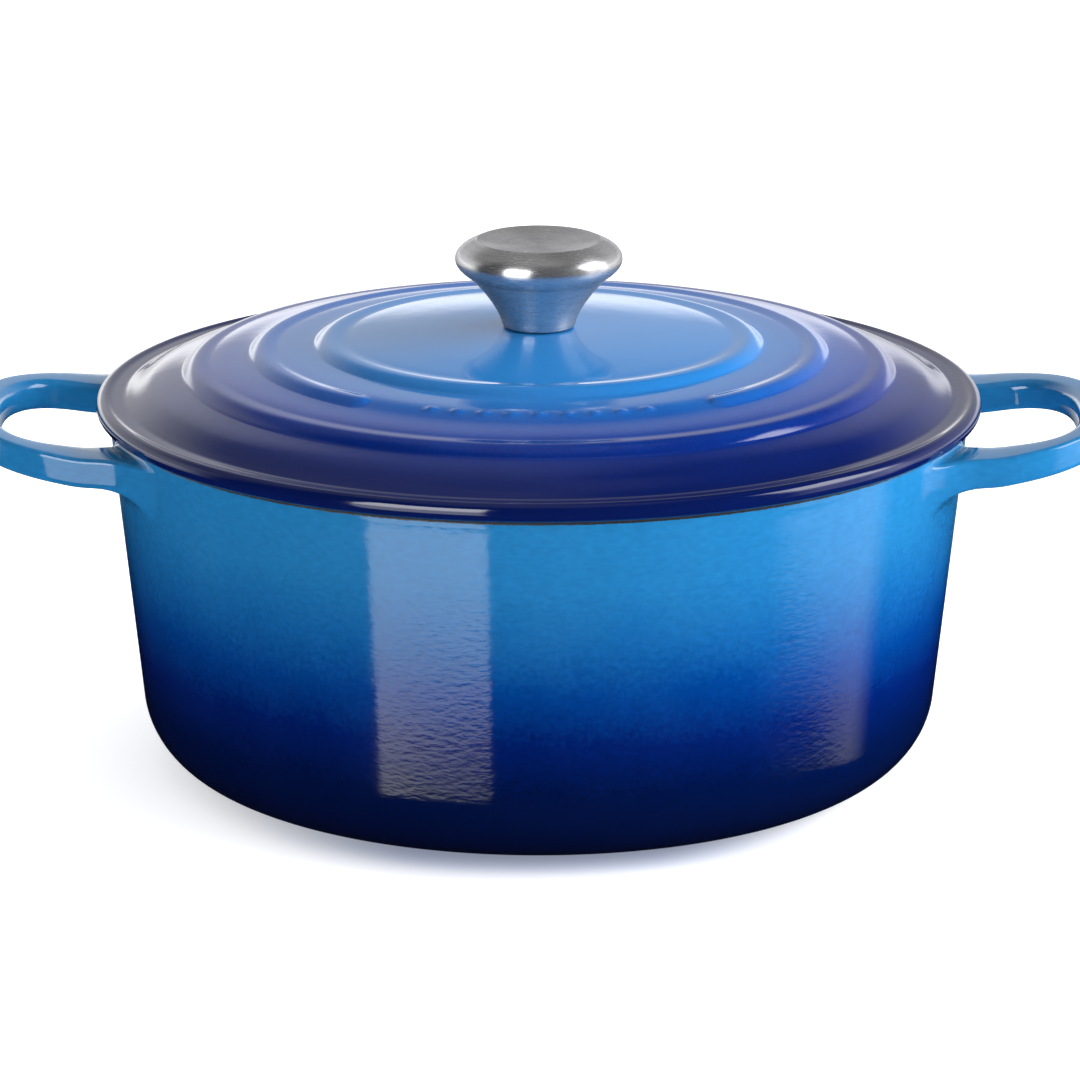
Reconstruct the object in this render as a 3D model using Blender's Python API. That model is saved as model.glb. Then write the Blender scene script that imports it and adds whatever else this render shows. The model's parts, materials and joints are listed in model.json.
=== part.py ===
"""Enamelled cast iron dutch oven: pot with two loop handles, ringed lid and screwed-on steel knob.

The origin is the middle of the base, on the surface that the pot stands on. The handles lie along X.
"""

from math import acos, copysign, cos, pi, radians, sin, sqrt, tan

import bmesh
import bpy

# Fits
GAP = 0.0003
LOCATING_CLEARANCE = 0.0010
SCREW_CLEARANCE = 0.0004

# Pot
POT_HEIGHT = 0.1114
RIM_RADIUS = 0.1325
WALL = 0.0040
FLOOR = 0.0048
WALL_LEAN = radians(6.0)
BASE_CORNER = 0.0250
INNER_CORNER = 0.0215
RIM_EDGE = 0.0010
FOOT_WIDTH = 0.0120
FOOT_HEIGHT = 0.0008

# Handles, cast in one with the pot: rounded loops that rise outwards, placed from the rim
HANDLE_STANDOUT = 0.0420
HANDLE_HEART_OFFSET = -0.0025
HANDLE_HALF_LENGTH = 0.0525
HANDLE_END_WIDTH = 0.0083
HOLE_HEART_OFFSET = 0.0135
HANDLE_ARM_WIDTH = 0.0163
HANDLE_DROP = 0.0024
HANDLE_HEIGHT = 0.0093
HANDLE_SQUARENESS = 2.6
HOLE_SQUARENESS = 2.5
HANDLE_RISE = 0.13
HANDLE_RISE_START = 0.0035
HANDLE_RISE_EASE = 0.0060
HANDLE_EDGE = 0.0032
OUTER_ROOT_FILLET = 0.0110
INNER_ROOT_FILLET = 0.0100
LOWER_ROOT_FILLET = 0.0070
HANDLE_BURY = 0.0020

# Lid
LID_OVERHANG = 0.0040
LID_EDGE_HEIGHT = 0.0058
LID_WALL = 0.0043
LOCATING_DEPTH = 0.0038
LOCATING_WIDTH = 0.0040
LOCATING_EDGE = 0.0010
CROWN_RISE = 0.0256
CROWN_FLAT_RADIUS = 0.0125
FLANGE_WIDTH = 0.0080
FLANGE_RISE = 0.0047
APRON_BULGE = 0.0010

# Raised beads of the lid: each foot's distance in from the lid's edge and rise above its seat,
# and how far the crest stands over the line between the two feet
INNER_BEAD = {"inner": (0.0781, 0.0228), "outer": (0.0707, 0.0213), "height": 0.0013}
MIDDLE_BEAD = {"inner": (0.0563, 0.0201), "outer": (0.0489, 0.0184), "height": 0.0013}
OUTER_BEAD = {"inner": (0.0349, 0.0162), "outer": (0.0277, 0.0131), "height": 0.0015}
MIDDLE_BEAD_OPENING = radians(80.0)
MIDDLE_BEAD_ROOT = 0.0012

# Knob, with heights from its foot
KNOB_HEIGHT = 0.0273
KNOB_FOOT_RADIUS = 0.0112
KNOB_FOOT_EDGE = 0.0009
KNOB_NECK_HEIGHT = 0.0155
KNOB_NECK_TOP_RADIUS = 0.0210
KNOB_FLARE_POWER = 1.55
KNOB_RADIUS = 0.0258
KNOB_WIDEST_HEIGHT = 0.0212
KNOB_SHOULDER_FALL = 0.0024
KNOB_TUCK_RISE = 0.0030
KNOB_LIP_RADIUS = 0.0192
KNOB_DISH_DEPTH = 0.0018
KNOB_SKIN = 0.0019
KNOB_FLOOR = 0.0018

# Knob fixing
SCREW_RADIUS = 0.0030
SCREW_ENGAGEMENT = 0.0100
SCREW_HEAD_WIDTH = 0.0028
SCREW_HEAD_HEIGHT = 0.0036
SCREW_HEAD_EDGE = 0.0018
SCREW_CHAMFER = 0.0008
CROSS_WIDTH = 0.0013
CROSS_MARGIN = 0.0026
CROSS_DEPTH = 0.0020
WASHER_WIDTH = 0.0022
WASHER_THICKNESS = 0.0015
WASHER_SPLIT = radians(12.0)
BUSH_RADIUS = 0.0055
BUSH_COLLAR_CLEARANCE = 0.0017
BUSH_COLLAR_HEIGHT = 0.0030
BUSH_LENGTH = 0.0120
BUSH_RECESS = 0.0003

# Roundness
LARGE_STEPS = 60
KNOB_STEPS = 40
SMALL_STEPS = 24
HANDLE_STEPS = 26
CORNER_STEPS = 3
BASE_CORNER_STEPS = 7
EDGE_STEPS = 2
NOSE_STEPS = 6
DOME_STEPS = 4
BEAD_STEPS = 5
APRON_STEPS = 3
DISH_STEPS = 4
SHOULDER_STEPS = 5
NECK_STEPS = 6
HOLLOW_STEPS = 4

# Heights that several pieces share
SEAT_Z = POT_HEIGHT + GAP
CROWN_Z = SEAT_Z + CROWN_RISE
LID_RADIUS = RIM_RADIUS + LID_OVERHANG
LID_HOLE_RADIUS = SCREW_RADIUS + SCREW_CLEARANCE
KNOB_Z = CROWN_Z + GAP
HANDLE_HEART = RIM_RADIUS + HANDLE_HEART_OFFSET
HANDLE_REACH = RIM_RADIUS + HANDLE_STANDOUT
HOLE_HEART = RIM_RADIUS + HOLE_HEART_OFFSET
HOLE_REACH = HANDLE_REACH - HANDLE_END_WIDTH
HOLE_HALF_LENGTH = HANDLE_HALF_LENGTH - HANDLE_ARM_WIDTH
SCREW_HEAD_RADIUS = SCREW_RADIUS + SCREW_HEAD_WIDTH
WASHER_TOP_Z = CROWN_Z - LID_WALL - GAP
SCREW_HEAD_TOP_Z = WASHER_TOP_Z - WASHER_THICKNESS - GAP


def clear_scene():
    """Remove every object, so that the model starts from nothing."""
    for old in list(bpy.data.objects):
        bpy.data.objects.remove(old, do_unlink=True)


def material(name, colour, roughness, metallic):
    """Make one plain finish."""
    finish = bpy.data.materials.new(name)
    finish.use_nodes = True
    shader = finish.node_tree.nodes["Principled BSDF"]
    shader.inputs["Base Color"].default_value = (*colour, 1.0)
    shader.inputs["Roughness"].default_value = roughness
    shader.inputs["Metallic"].default_value = metallic
    return finish


def link(name, bm, finish, smooth=True):
    """Turn a bmesh into a named object with one finish."""
    bmesh.ops.recalc_face_normals(bm, faces=bm.faces)
    mesh = bpy.data.meshes.new(name)
    bm.to_mesh(mesh)
    bm.free()
    mesh.materials.append(finish)
    if smooth:
        mesh.shade_smooth()
        mesh.set_sharp_from_angle(angle=radians(35.0))
    thing = bpy.data.objects.new(name, mesh)
    bpy.context.scene.collection.objects.link(thing)
    return thing


def as_tool(thing):
    """Mark an object as a shaping tool that isn't itself part of the model."""
    thing.hide_render = True
    thing.display_type = "WIRE"
    return thing


def shape_with(target, tool, operation):
    """Join or cut a piece with another shape."""
    step = target.modifiers.new(tool.name, "BOOLEAN")
    step.operation = operation
    step.solver = "EXACT"
    step.object = tool


def arc(centre_r, centre_z, radius, start, end, steps):
    """Points of a circular arc in the outline plane, both ends included."""
    points = []
    for step in range(steps + 1):
        angle = start + (end - start) * step / steps
        points.append((centre_r + radius * cos(angle), centre_z + radius * sin(angle)))
    return points


def mix(first, second, share):
    """Point at a share of the way from one outline point to another."""
    return tuple(a + (b - a) * share for a, b in zip(first, second))


def turned(outline, steps, closed):
    """Spin an outline of (radius, height) points right round the Z axis."""
    bm = bmesh.new()
    ring = [bm.verts.new((r, 0.0, z)) for r, z in outline]
    pairs = list(zip(ring, ring[1:]))
    if closed:
        pairs.append((ring[-1], ring[0]))
    edges = [bm.edges.new(pair) for pair in pairs]
    bmesh.ops.spin(
        bm, geom=ring + edges, cent=(0, 0, 0), axis=(0, 0, 1),
        angle=2 * pi, steps=steps, use_merge=True,
    )
    bmesh.ops.remove_doubles(bm, verts=bm.verts, dist=1e-6)
    return bm


def part_turned(outline, steps, start, sweep):
    """Spin a closed outline through part of a turn, with both ends capped."""
    bm = bmesh.new()
    ring = [bm.verts.new((r * cos(start), r * sin(start), z)) for r, z in outline]
    face = bm.faces.new(ring)
    bmesh.ops.spin(
        bm, geom=[face] + list(face.edges) + ring, cent=(0, 0, 0), axis=(0, 0, 1),
        angle=sweep, steps=steps,
    )
    return bm


def wall_radius(height):
    """Outer radius of the leaning pot wall at a height."""
    return RIM_RADIUS - (POT_HEIGHT - height) * tan(WALL_LEAN)


def corner_arc(rim_radius, floor_z, radius):
    """Arc that turns a level floor up into the leaning wall line."""
    end_z = floor_z + radius * (1 - sin(WALL_LEAN))
    end_r = rim_radius - (POT_HEIGHT - end_z) * tan(WALL_LEAN)
    centre_r = end_r - radius * cos(WALL_LEAN)
    return arc(centre_r, floor_z + radius, radius, -pi / 2, -WALL_LEAN, BASE_CORNER_STEPS)


def pot_outline():
    """Section of the pot from the middle of its underside to the middle of its floor."""
    outer = corner_arc(RIM_RADIUS, 0.0, BASE_CORNER)
    foot_r = outer[0][0] - FOOT_WIDTH
    underside = [(0.0, FOOT_HEIGHT), (foot_r - FOOT_HEIGHT, FOOT_HEIGHT), (foot_r, 0.0)]
    rim = arc(RIM_RADIUS - RIM_EDGE, POT_HEIGHT - RIM_EDGE, RIM_EDGE, 0, pi / 2, EDGE_STEPS)
    inner_r = RIM_RADIUS - WALL + RIM_EDGE
    rim += arc(inner_r, POT_HEIGHT - RIM_EDGE, RIM_EDGE, pi / 2, pi, EDGE_STEPS)
    inner = corner_arc(RIM_RADIUS - WALL, FOOT_HEIGHT + FLOOR, INNER_CORNER)
    return underside + outer + rim + inner[::-1] + [(0.0, FOOT_HEIGHT + FLOOR)]


def outline_point(heart, reach, half_length, squareness, angle):
    """Plan point of a handle outline: straight out to its heart, then round its end."""
    if angle >= pi / 2:
        return heart - (angle - pi / 2) * half_length, half_length
    power = 2 / squareness
    return heart + (reach - heart) * cos(angle) ** power, half_length * sin(angle) ** power


def angle_at_radius(heart, half_length, radius):
    """Outline angle at which a handle outline's straight run meets a circle about the pot's axis."""
    return pi / 2 + (heart - sqrt(radius ** 2 - half_length ** 2)) / half_length


def fillet_spread(distance, radius):
    """How far a root fillet of a radius spreads along the wall at a distance from it."""
    reach = radius - min(max(distance, 0.0), radius)
    return radius - sqrt(radius ** 2 - reach ** 2)


def handle_edge(heart, reach, half_length, squareness, share, spread):
    """Plan point of a handle outline, with its root fillet spread along the wall."""
    buried = wall_radius(POT_HEIGHT - HANDLE_HEIGHT) - HANDLE_BURY
    angle = abs(share) * angle_at_radius(heart, half_length, buried)
    x, y = outline_point(heart, reach, half_length, squareness, angle)
    y = copysign(y, share)
    distance = sqrt(x * x + y * y) - RIM_RADIUS
    shift = copysign(fillet_spread(distance, abs(spread)), spread * y) / RIM_RADIUS
    return x * cos(shift) - y * sin(shift), x * sin(shift) + y * cos(shift), distance


def handle_lift(x):
    """How far a handle has risen at a distance from the pot's middle, eased in past its root."""
    past = max(x - RIM_RADIUS - HANDLE_RISE_START, 0.0)
    if past < HANDLE_RISE_EASE:
        return HANDLE_RISE * past ** 2 / (2 * HANDLE_RISE_EASE)
    return HANDLE_RISE * (past - HANDLE_RISE_EASE / 2)


def handle_section(share):
    """Rounded section of the handle loop at a share of its run from root to root."""
    hole_x, hole_y, _ = handle_edge(
        HOLE_HEART, HOLE_REACH, HOLE_HALF_LENGTH, HOLE_SQUARENESS, share, -INNER_ROOT_FILLET,
    )
    rim_x, rim_y, distance = handle_edge(
        HANDLE_HEART, HANDLE_REACH, HANDLE_HALF_LENGTH, HANDLE_SQUARENESS, share, OUTER_ROOT_FILLET,
    )
    width = sqrt((rim_x - hole_x) ** 2 + (rim_y - hole_y) ** 2)
    top = POT_HEIGHT - HANDLE_DROP
    bottom = top - HANDLE_HEIGHT - fillet_spread(distance, LOWER_ROOT_FILLET)
    corners = [
        (width - HANDLE_EDGE, top - HANDLE_EDGE, 0.0),
        (HANDLE_EDGE, top - HANDLE_EDGE, pi / 2),
        (HANDLE_EDGE, bottom + HANDLE_EDGE, pi),
        (width - HANDLE_EDGE, bottom + HANDLE_EDGE, 3 * pi / 2),
    ]
    section = []
    for across, height, start in corners:
        for out, z in arc(across, height, HANDLE_EDGE, start, start + pi / 2, CORNER_STEPS):
            along = out / width
            x = hole_x + (rim_x - hole_x) * along
            section.append((x, hole_y + (rim_y - hole_y) * along, z + handle_lift(x)))
    return section


def handle_loop(side):
    """Solid loop of one handle, with both roots buried in the pot's wall."""
    bm = bmesh.new()
    rings = []
    for step in range(HANDLE_STEPS + 1):
        share = 2 * step / HANDLE_STEPS - 1
        rings.append([bm.verts.new((side * x, y, z)) for x, y, z in handle_section(share)])
    for first, second in zip(rings, rings[1:]):
        for index in range(len(first)):
            after = (index + 1) % len(first)
            bm.faces.new((first[index], first[after], second[after], second[index]))
    bm.faces.new(rings[0])
    bm.faces.new(rings[-1])
    return bm


def build_pot(finish):
    """One casting: the round pot and the two loop handles on its wall."""
    pot = link("pot", turned(pot_outline(), LARGE_STEPS, closed=False), finish)
    for name, side in (("right_handle_shape", 1), ("left_handle_shape", -1)):
        loop = as_tool(link(name, handle_loop(side), finish))
        shape_with(pot, loop, "UNION")
    return pot


def foot(bead, side):
    """Foot of a bead as an outline point."""
    inset, rise = bead[side]
    return (LID_RADIUS - inset, SEAT_Z + rise)


def bead_outline(bead):
    """Rounded bump over the line between a bead's two feet."""
    points = []
    for step in range(1, BEAD_STEPS):
        share = step / BEAD_STEPS
        r, z = mix(foot(bead, "inner"), foot(bead, "outer"), share)
        points.append((r, z + bead["height"] * sin(pi * share)))
    return points


def dome_height(radius):
    """Height of the lid's smooth middle, which falls away as a parabola from its flat centre."""
    inner_r, inner_z = foot(INNER_BEAD, "inner")
    share = max(radius - CROWN_FLAT_RADIUS, 0.0) / (inner_r - CROWN_FLAT_RADIUS)
    return CROWN_Z - (CROWN_Z - inner_z) * share ** 2


def lid_crown():
    """Top of the lid from its screw hole to its flange, with the two unbroken beads."""
    span = foot(INNER_BEAD, "inner")[0] - CROWN_FLAT_RADIUS
    radii = [LID_HOLE_RADIUS] + [CROWN_FLAT_RADIUS + span * step / DOME_STEPS for step in range(DOME_STEPS)]
    crown = [(r, dome_height(r)) for r in radii]
    crown += [foot(INNER_BEAD, "inner")] + bead_outline(INNER_BEAD) + [foot(INNER_BEAD, "outer")]
    crown += [foot(MIDDLE_BEAD, "inner"), foot(MIDDLE_BEAD, "outer")]
    crown += [foot(OUTER_BEAD, "inner")] + bead_outline(OUTER_BEAD) + [foot(OUTER_BEAD, "outer")]
    flange = (LID_RADIUS - FLANGE_WIDTH, SEAT_Z + FLANGE_RISE)
    for step in range(1, APRON_STEPS):
        share = step / APRON_STEPS
        r, z = mix(foot(OUTER_BEAD, "outer"), flange, share)
        crown.append((r, z + APRON_BULGE * sin(pi * share)))
    return crown + [flange]


def locating_ring():
    """Ring under the lid that drops inside the pot's rim, from its outer root to its inner root."""
    outer_r = RIM_RADIUS - WALL - LOCATING_CLEARANCE - LOCATING_DEPTH * tan(WALL_LEAN)
    inner_r = outer_r - LOCATING_WIDTH
    low = SEAT_Z - LOCATING_DEPTH + LOCATING_EDGE
    ring = [(outer_r, SEAT_Z)]
    ring += arc(outer_r - LOCATING_EDGE, low, LOCATING_EDGE, 0, -pi / 2, EDGE_STEPS)
    ring += arc(inner_r + LOCATING_EDGE, low, LOCATING_EDGE, -pi / 2, -pi, EDGE_STEPS)
    return ring + [(inner_r, SEAT_Z + LOCATING_EDGE)]


def lid_outline():
    """Section of the lid, right round from its screw hole and back."""
    nose = LID_EDGE_HEIGHT / 2
    edge = arc(LID_RADIUS - nose, SEAT_Z + nose, nose, pi / 2, -pi / 2, NOSE_STEPS)
    hollow = []
    for bead in (OUTER_BEAD, MIDDLE_BEAD, INNER_BEAD):
        r, z = foot(bead, "outer")
        hollow.append((r, z - LID_WALL))
    middle = (CROWN_FLAT_RADIUS + foot(INNER_BEAD, "inner")[0]) / 2
    for r in (middle, CROWN_FLAT_RADIUS, LID_HOLE_RADIUS):
        hollow.append((r, dome_height(r) - LID_WALL))
    return lid_crown() + edge + locating_ring() + hollow


def middle_bead_shape(finish):
    """Open ring of the middle bead, with its opening at the front."""
    inner = foot(MIDDLE_BEAD, "inner")
    outer = foot(MIDDLE_BEAD, "outer")
    buried = [(outer[0], outer[1] - MIDDLE_BEAD_ROOT), (inner[0], inner[1] - MIDDLE_BEAD_ROOT)]
    section = [inner] + bead_outline(MIDDLE_BEAD) + [outer] + buried
    start = -pi / 2 + MIDDLE_BEAD_OPENING / 2
    sweep = 2 * pi - MIDDLE_BEAD_OPENING
    return as_tool(link("middle_bead_shape", part_turned(section, LARGE_STEPS, start, sweep), finish))


def build_lid(finish):
    """One casting: domed lid with three raised beads and a ring that locates it in the pot."""
    lid = link("lid", turned(lid_outline(), LARGE_STEPS, closed=True), finish)
    shape_with(lid, middle_bead_shape(finish), "UNION")
    return lid


def neck_radius(share):
    """Radius of the knob's flared neck at a share of its height."""
    flare = KNOB_NECK_TOP_RADIUS - KNOB_FOOT_RADIUS
    return KNOB_FOOT_RADIUS + flare * share ** KNOB_FLARE_POWER


def knob_dish(offset, steps):
    """Dished top from its middle to its lip, lowered by an offset."""
    lowest = KNOB_Z + KNOB_HEIGHT - KNOB_DISH_DEPTH - offset
    lip = KNOB_LIP_RADIUS - offset
    points = []
    for step in range(steps + 1):
        share = step / steps
        points.append((lip * share, lowest + KNOB_DISH_DEPTH * share ** 2))
    return points


def bent(first, middle, last, steps):
    """Curve between two points that leans towards a middle one, without its ends."""
    points = []
    for step in range(1, steps):
        share = step / steps
        points.append(mix(mix(first, middle, share), mix(middle, last, share), share))
    return points


def knob_surface():
    """Outside of the knob from the middle of its dish down to its foot."""
    lip = (KNOB_LIP_RADIUS, KNOB_Z + KNOB_HEIGHT)
    widest = (KNOB_RADIUS, KNOB_Z + KNOB_WIDEST_HEIGHT)
    neck_top = (KNOB_NECK_TOP_RADIUS, KNOB_Z + KNOB_NECK_HEIGHT)
    shoulder = (KNOB_RADIUS, lip[1] - KNOB_SHOULDER_FALL)
    tuck = (KNOB_RADIUS, neck_top[1] + KNOB_TUCK_RISE)
    surface = knob_dish(0.0, DISH_STEPS)
    surface += bent(lip, shoulder, widest, SHOULDER_STEPS) + [widest]
    surface += bent(widest, tuck, neck_top, SHOULDER_STEPS)
    for step in range(NECK_STEPS, 0, -1):
        share = step / NECK_STEPS
        surface.append((neck_radius(share), KNOB_Z + KNOB_NECK_HEIGHT * share))
    surface.append((KNOB_FOOT_RADIUS, KNOB_Z + KNOB_FOOT_EDGE))
    surface.append((KNOB_FOOT_RADIUS - KNOB_FOOT_EDGE, KNOB_Z))
    return surface


def knob_hollow():
    """Inside of the knob from the hole in its foot up to the middle of its dish."""
    hole = BUSH_RADIUS + GAP
    hollow = [(hole, KNOB_Z), (hole, KNOB_Z + KNOB_FLOOR)]
    for step in range(HOLLOW_STEPS + 1):
        share = step / HOLLOW_STEPS
        z = KNOB_Z + KNOB_FLOOR + (KNOB_NECK_HEIGHT - KNOB_FLOOR) * share
        hollow.append((neck_radius(share) - KNOB_SKIN, z))
    hollow.append((KNOB_RADIUS - KNOB_SKIN, KNOB_Z + KNOB_WIDEST_HEIGHT))
    return hollow + knob_dish(KNOB_SKIN, DISH_STEPS - 1)[::-1]


def build_knob(finish):
    """Hollow flared knob with a dished top."""
    return link("knob", turned(knob_surface() + knob_hollow(), KNOB_STEPS, closed=False), finish)


def build_bush(finish):
    """Threaded bush that sits in the knob's foot and takes the screw."""
    bore = SCREW_RADIUS + GAP
    low = KNOB_Z + BUSH_RECESS
    collar_low = KNOB_Z + KNOB_FLOOR + GAP
    collar_high = collar_low + BUSH_COLLAR_HEIGHT
    top = low + BUSH_LENGTH
    collar_r = KNOB_FOOT_RADIUS - KNOB_SKIN - BUSH_COLLAR_CLEARANCE
    outline = [
        (bore, top), (BUSH_RADIUS, top), (BUSH_RADIUS, collar_high),
        (collar_r, collar_high), (collar_r, collar_low),
        (BUSH_RADIUS, collar_low), (BUSH_RADIUS, low), (bore, low),
    ]
    return link("knob_bush", turned(outline, SMALL_STEPS, closed=True), finish)


def cross_tool(finish):
    """Cross-shaped tool that cuts the screwdriver recess up into the screw's head."""
    arm = SCREW_HEAD_RADIUS - CROSS_MARGIN
    half = CROSS_WIDTH / 2
    low = SCREW_HEAD_TOP_Z - SCREW_HEAD_HEIGHT - CROSS_DEPTH
    bm = bmesh.new()
    corners = []
    for quarter in range(4):
        turn = quarter * pi / 2
        for x, y in ((half, half), (half, arm), (-half, arm)):
            corners.append((x * cos(turn) - y * sin(turn), x * sin(turn) + y * cos(turn), low))
    face = bm.faces.new([bm.verts.new(corner) for corner in corners])
    grown = bmesh.ops.extrude_face_region(bm, geom=[face])["geom"]
    raised = [part for part in grown if isinstance(part, bmesh.types.BMVert)]
    bmesh.ops.translate(bm, vec=(0, 0, 2 * CROSS_DEPTH), verts=raised)
    return as_tool(link("cross_recess_shape", bm, finish, smooth=False))


def build_screw(finish):
    """Pan-headed screw that comes up through the lid into the knob's bush."""
    head_low = SCREW_HEAD_TOP_Z - SCREW_HEAD_HEIGHT
    tip = KNOB_Z + BUSH_RECESS + SCREW_ENGAGEMENT
    round_r = SCREW_HEAD_RADIUS - SCREW_HEAD_EDGE
    outline = [
        (0.0, tip), (SCREW_RADIUS - SCREW_CHAMFER, tip), (SCREW_RADIUS, tip - SCREW_CHAMFER),
        (SCREW_RADIUS, SCREW_HEAD_TOP_Z), (SCREW_HEAD_RADIUS, SCREW_HEAD_TOP_Z),
    ]
    outline += arc(round_r, head_low + SCREW_HEAD_EDGE, SCREW_HEAD_EDGE, 0, -pi / 2, CORNER_STEPS)
    outline.append((0.0, head_low))
    screw = link("knob_screw", turned(outline, SMALL_STEPS, closed=False), finish)
    shape_with(screw, cross_tool(finish), "DIFFERENCE")
    return screw


def build_washer(finish):
    """Split spring washer under the screw's head."""
    bore = SCREW_RADIUS + SCREW_CLEARANCE
    rim = bore + WASHER_WIDTH
    low = WASHER_TOP_Z - WASHER_THICKNESS
    outline = [(bore, WASHER_TOP_Z), (rim, WASHER_TOP_Z), (rim, low), (bore, low)]
    ring = part_turned(outline, SMALL_STEPS, WASHER_SPLIT / 2, 2 * pi - WASHER_SPLIT)
    return link("spring_washer", ring, finish)


def main():
    """Build every piece of the dutch oven."""
    clear_scene()
    enamel = material("blue_enamel", (0.010, 0.120, 0.400), 0.12, 0.0)
    lid_enamel = material("lid_enamel", (0.020, 0.130, 0.420), 0.12, 0.0)
    steel = material("brushed_steel", (0.560, 0.550, 0.540), 0.30, 1.0)
    zinc = material("fixing_steel", (0.500, 0.500, 0.480), 0.35, 1.0)
    build_pot(enamel)
    moving = [
        build_lid(lid_enamel),
        build_knob(steel),
        build_bush(zinc),
        build_screw(zinc),
        build_washer(zinc),
    ]
    lift = bpy.data.objects.new("lid_lift_axis", None)
    bpy.context.scene.collection.objects.link(lift)
    for piece in moving:
        piece.parent = lift


main()
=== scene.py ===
"""Enamelled cast iron dutch oven: two-handled pot, ringed lid that lifts off and brushed steel knob.

Everything is in metres. The origin is the middle of the base, on the surface the pot stands on. The handles
lie along X and the front of the lid faces -Y.
"""

import json
import logging
from dataclasses import dataclass, field
from enum import Enum
from math import atan2, ceil, cos, hypot, pi, radians, sin, sqrt, tan
from typing import Any, Callable, Sequence, Union

import bmesh
import bpy
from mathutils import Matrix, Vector

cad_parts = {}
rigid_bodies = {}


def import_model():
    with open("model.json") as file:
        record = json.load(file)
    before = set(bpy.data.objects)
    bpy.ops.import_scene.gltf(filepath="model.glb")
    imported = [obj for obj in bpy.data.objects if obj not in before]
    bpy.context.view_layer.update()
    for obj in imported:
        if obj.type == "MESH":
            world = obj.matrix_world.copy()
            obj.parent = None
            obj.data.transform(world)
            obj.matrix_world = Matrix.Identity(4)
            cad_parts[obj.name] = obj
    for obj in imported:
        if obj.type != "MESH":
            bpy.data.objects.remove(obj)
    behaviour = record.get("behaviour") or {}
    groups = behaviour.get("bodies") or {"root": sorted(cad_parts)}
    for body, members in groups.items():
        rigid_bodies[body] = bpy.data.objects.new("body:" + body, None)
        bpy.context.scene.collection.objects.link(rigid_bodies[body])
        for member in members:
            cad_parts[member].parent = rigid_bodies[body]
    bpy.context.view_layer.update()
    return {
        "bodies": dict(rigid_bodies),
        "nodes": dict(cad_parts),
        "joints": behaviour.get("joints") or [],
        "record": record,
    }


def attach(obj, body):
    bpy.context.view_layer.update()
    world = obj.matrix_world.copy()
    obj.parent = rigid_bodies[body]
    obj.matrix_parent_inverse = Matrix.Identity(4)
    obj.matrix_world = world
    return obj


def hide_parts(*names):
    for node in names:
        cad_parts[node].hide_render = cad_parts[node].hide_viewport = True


LOG = logging.getLogger("dutch_oven")
GLASS_IOR = 1.52

Point = tuple[float, float]
Colour = tuple[float, float, float]
Value = Union[float, int, Sequence[float], bpy.types.NodeSocket]
Relief = Callable[[float, float], float]


# ---------------------------------------------------------------------------------------------- helpers


def paint(red: int, green: int, blue: int) -> Colour:
    """Turn a colour as a screen shows it into a scene colour.

    Args:
        red: Red, 0 to 255.
        green: Green, 0 to 255.
        blue: Blue, 0 to 255.

    Returns:
        The linear colour.
    """
    return tuple(
        value / 255 / 12.92 if value < 11 else ((value / 255 + 0.055) / 1.055) ** 2.4
        for value in (red, green, blue)
    )


def smoothstep(share: float) -> float:
    """Ease from 0 to 1 with a level start and end."""
    share = min(max(share, 0.0), 1.0)
    return share * share * (3 - 2 * share)


def arc(centre: Point, radius: float, start: float, end: float, steps: int) -> list[Point]:
    """Points of a circular arc in the outline plane.

    Args:
        centre: Middle of the arc, as radius and height.
        radius: Radius of the arc.
        start: Angle of the first point.
        end: Angle of the last point.
        steps: How many pieces the arc is split into.

    Returns:
        The points, both ends included.
    """
    angles = [start + (end - start) * step / steps for step in range(steps + 1)]
    return [(centre[0] + radius * cos(a), centre[1] + radius * sin(a)) for a in angles]


def straight(first: Point, last: Point, steps: int) -> list[Point]:
    """Evenly spaced points of a line, without its first point."""
    shares = [step / steps for step in range(1, steps + 1)]
    return [(first[0] + (last[0] - first[0]) * s, first[1] + (last[1] - first[1]) * s) for s in shares]


def flowing(knots: Sequence[Point], spacing: float) -> list[Point]:
    """Smooth line through knots that never overshoots them.

    Args:
        knots: Points with rising radius.
        spacing: Longest step between two points of the line.

    Returns:
        The line's points, both ends included.
    """
    steps = [(b[0] - a[0], (b[1] - a[1]) / (b[0] - a[0])) for a, b in zip(knots, knots[1:])]
    slopes = [steps[0][1]]
    for (run_a, fall_a), (run_b, fall_b) in zip(steps, steps[1:]):
        if fall_a * fall_b <= 0:
            slopes.append(0.0)
            continue
        weight_a = 2 * run_b + run_a
        weight_b = run_b + 2 * run_a
        slopes.append((weight_a + weight_b) / (weight_a / fall_a + weight_b / fall_b))
    slopes.append(steps[-1][1])
    line = [knots[0]]
    for index, (run, _) in enumerate(steps):
        (r_a, z_a), (_, z_b) = knots[index], knots[index + 1]
        count = max(1, ceil(run / spacing))
        for step in range(1, count + 1):
            t = step / count
            z = z_a * (2 * t ** 3 - 3 * t ** 2 + 1) + z_b * (3 * t ** 2 - 2 * t ** 3)
            z += run * slopes[index] * (t ** 3 - 2 * t ** 2 + t)
            z += run * slopes[index + 1] * (t ** 3 - t ** 2)
            line.append((r_a + run * t, z))
    return line


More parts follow.
